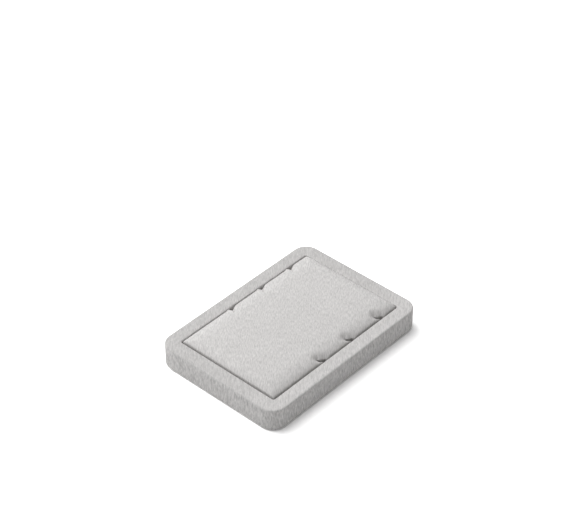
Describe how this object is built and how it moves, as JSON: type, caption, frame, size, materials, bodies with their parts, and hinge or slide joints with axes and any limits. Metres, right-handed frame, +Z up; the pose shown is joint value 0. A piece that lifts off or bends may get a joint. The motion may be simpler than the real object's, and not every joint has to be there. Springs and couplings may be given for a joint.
{
  "type": "jewelry display tray",
  "caption": "Low fabric-wrapped display tray whose recess holds a lift-out padded insert with chain slits along its long edges.",
  "frame": {"origin": "on the table, under the middle of the tray", "axes": "+X across the tray, +Y along it towards the end with the first slits, +Z up out of the tray"},
  "size_m": [0.1, 0.14, 0.02],
  "materials": {
    "microfibre": "matt microfibre suede with a fine mottled nap",
    "felt": "short dense felt",
    "fibreboard": "raw fibreboard",
    "foam": "open-cell foam"
  },
  "bodies": {
    "tray": {"underside_felt": "felt", "bottom_board": "fibreboard", "frame_core": "fibreboard", "rim_wrap": "microfibre", "recess_lining": "microfibre"},
    "insert": {"pad_backing": "felt", "pad_board": "fibreboard", "pad_foam": "foam", "pad_cover": "microfibre"}
  },
  "joints": [
    {"name": "insert_lift", "type": "slide", "parent": "tray", "child": "insert", "axis": [0, 0, 1], "range_m": [0, 0.025]}
  ]
}
